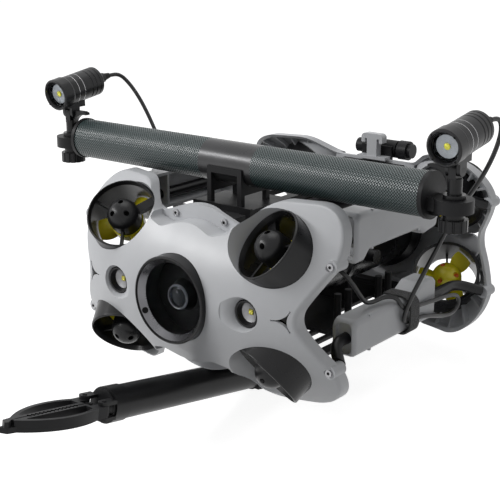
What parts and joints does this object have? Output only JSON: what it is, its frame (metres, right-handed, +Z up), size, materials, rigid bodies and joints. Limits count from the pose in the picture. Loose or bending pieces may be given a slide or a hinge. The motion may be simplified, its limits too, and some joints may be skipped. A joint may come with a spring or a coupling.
{
  "type": "underwater inspection vehicle",
  "caption": "Portable underwater inspection vehicle with ducted thrusters angled in every corner, a light bar with two floodlights across the top and a grabber arm below.",
  "frame": {"origin": "centre of the payload bolt pattern, on the underside of the bottom tray", "axes": "+X to the vehicle's left, bow towards -Y, +Z up and out of the tray's top"},
  "size_m": [0.4356, 0.5168, 0.2724],
  "materials": {
    "shell_grey": "satin light grey moulding",
    "propeller_yellow": "bright yellow moulding",
    "steel": "stainless screws",
    "clear_glass": "clear window",
    "carbon": "clear-coated woven carbon fibre",
    "sleeve_satin": "satin black tube joint",
    "cable_black": "smooth cable jacket",
    "strap_fabric": "hook-and-loop webbing",
    "anodised_black": "black anodised",
    "black_plastic": "black moulding"
  },
  "bodies": {
    "vehicle": {"arm_housing": "anodised_black", "arm_mount": "black_plastic", "bar_cradle": "black_plastic", "bar_sleeve": "sleeve_satin", "bar_tube_left": "carbon", "bar_tube_right": "carbon", "beam_strap": "strap_fabric", "bottom_tray": "black_plastic", "bow_shell": "shell_grey", "camera_module": "black_plastic", "camera_ring": "black_plastic", "camera_window": "clear_glass", "duct_bow_lower_left": "black_plastic", "duct_bow_lower_right": "black_plastic", "duct_bow_upper_left": "black_plastic", "duct_bow_upper_right": "black_plastic", "duct_stern_lower_left": "black_plastic", "duct_stern_lower_right": "black_plastic", "duct_stern_upper_left": "black_plastic", "duct_stern_upper_right": "black_plastic", "frame_tubes": "black_plastic", "headlamp_lenses": "clear_glass", "headlamps": "black_plastic", "hull_end_cap": "black_plastic", "light_bracket_left": "black_plastic", "light_bracket_right": "black_plastic", "light_cable_left": "cable_black", "light_cable_right": "cable_black", "lower_beam_left": "shell_grey", "lower_beam_right": "shell_grey", "pressure_hull": "anodised_black", "screws": "steel", "stern_shell": "shell_grey", "tether_socket": "black_plastic", "thruster_motors": "anodised_black", "top_rail": "black_plastic", "tow_hook": "shell_grey", "upper_beam_left": "shell_grey", "upper_beam_right": "shell_grey"},
    "propeller_bow_upper_left": {"propeller_bow_upper_left": "propeller_yellow"},
    "propeller_bow_lower_left": {"propeller_bow_lower_left": "propeller_yellow"},
    "propeller_bow_upper_right": {"propeller_bow_upper_right": "propeller_yellow"},
    "propeller_bow_lower_right": {"propeller_bow_lower_right": "propeller_yellow"},
    "propeller_stern_upper_left": {"propeller_stern_upper_left": "propeller_yellow"},
    "propeller_stern_lower_left": {"propeller_stern_lower_left": "propeller_yellow"},
    "propeller_stern_upper_right": {"propeller_stern_upper_right": "propeller_yellow"},
    "propeller_stern_lower_right": {"propeller_stern_lower_right": "propeller_yellow"},
    "light_post_left": {"light_post_left": "anodised_black"},
    "floodlight_left": {"floodlight_left": "anodised_black", "floodlight_lens_left": "clear_glass"},
    "thumb_screw_left": {"thumb_screw_left": "anodised_black"},
    "light_post_right": {"light_post_right": "anodised_black"},
    "floodlight_right": {"floodlight_right": "anodised_black", "floodlight_lens_right": "clear_glass"},
    "thumb_screw_right": {"thumb_screw_right": "anodised_black"},
    "jaw_left": {"jaw_left": "black_plastic"},
    "jaw_right": {"jaw_right": "black_plastic"},
    "push_rod": {"push_rod": "anodised_black"}
  },
  "joints": [
    {"name": "spin_bow_upper_left", "type": "hinge", "parent": "vehicle", "child": "propeller_bow_upper_left", "pos_m": [0.08588, -0.12673, 0.10124], "axis": [-0.3283, -0.6946, 0.6401], "continuous": true},
    {"name": "spin_bow_lower_left", "type": "hinge", "parent": "vehicle", "child": "propeller_bow_lower_left", "pos_m": [0.08588, -0.12673, 0.02276], "axis": [-0.3283, -0.6946, -0.6401], "continuous": true},
    {"name": "spin_bow_upper_right", "type": "hinge", "parent": "vehicle", "child": "propeller_bow_upper_right", "pos_m": [-0.08588, -0.12673, 0.10124], "axis": [0.3283, -0.6946, 0.6401], "continuous": true},
    {"name": "spin_bow_lower_right", "type": "hinge", "parent": "vehicle", "child": "propeller_bow_lower_right", "pos_m": [-0.08588, -0.12673, 0.02276], "axis": [0.3283, -0.6946, -0.6401], "continuous": true},
    {"name": "spin_stern_upper_left", "type": "hinge", "parent": "vehicle", "child": "propeller_stern_upper_left", "pos_m": [0.08588, 0.12673, 0.10124], "axis": [-0.3283, 0.6946, 0.6401], "continuous": true},
    {"name": "spin_stern_lower_left", "type": "hinge", "parent": "vehicle", "child": "propeller_stern_lower_left", "pos_m": [0.08588, 0.12673, 0.02276], "axis": [-0.3283, 0.6946, -0.6401], "continuous": true},
    {"name": "spin_stern_upper_right", "type": "hinge", "parent": "vehicle", "child": "propeller_stern_upper_right", "pos_m": [-0.08588, 0.12673, 0.10124], "axis": [0.3283, 0.6946, 0.6401], "continuous": true},
    {"name": "spin_stern_lower_right", "type": "hinge", "parent": "vehicle", "child": "propeller_stern_lower_right", "pos_m": [-0.08588, 0.12673, 0.02276], "axis": [0.3283, 0.6946, -0.6401], "continuous": true},
    {"name": "light_swivel_left", "type": "hinge", "parent": "vehicle", "child": "light_post_left", "pos_m": [0.203, -0.081, 0.16], "axis": [0, 0, 1], "range_deg": [-40, 40], "deforming": ["light_cable_left"]},
    {"name": "light_tilt_left", "type": "hinge", "parent": "light_post_left", "child": "floodlight_left", "pos_m": [0.203, -0.081, 0.181], "axis": [1, 0, 0], "range_deg": [-30, 30], "deforming": ["light_cable_left"]},
    {"name": "thumb_turn_left", "type": "hinge", "parent": "vehicle", "child": "thumb_screw_left", "pos_m": [0.203, -0.081, 0.142], "axis": [0, 0, 1], "range_deg": [-180, 180]},
    {"name": "light_swivel_right", "type": "hinge", "parent": "vehicle", "child": "light_post_right", "pos_m": [-0.203, -0.081, 0.16], "axis": [0, 0, 1], "range_deg": [-40, 40], "deforming": ["light_cable_right"]},
    {"name": "light_tilt_right", "type": "hinge", "parent": "light_post_right", "child": "floodlight_right", "pos_m": [-0.203, -0.081, 0.181], "axis": [1, 0, 0], "range_deg": [-30, 30], "deforming": ["light_cable_right"]},
    {"name": "thumb_turn_right", "type": "hinge", "parent": "vehicle", "child": "thumb_screw_right", "pos_m": [-0.203, -0.081, 0.142], "axis": [0, 0, 1], "range_deg": [-180, 180]},
    {"name": "jaw_open", "type": "hinge", "parent": "vehicle", "child": "jaw_left", "pos_m": [0.0105, -0.25776, -0.00064], "axis": [0, 0.1736, 0.9848], "range_deg": [0, 35]},
    {"name": "jaw_open_right", "type": "hinge", "parent": "vehicle", "child": "jaw_right", "pos_m": [-0.0105, -0.25776, -0.00064], "axis": [0, -0.1736, -0.9848], "range_deg": [0, 35]},
    {"name": "rod_push", "type": "slide", "parent": "vehicle", "child": "push_rod", "axis": [0, -0.9848, 0.1736], "range_m": [0, 0.005]}
  ],
  "couplings": [
    {"joint": "jaw_open_right", "follows": "jaw_open", "ratio": 1},
    {"joint": "rod_push", "follows": "jaw_open", "m_per_rad": 0.008185}
  ]
}
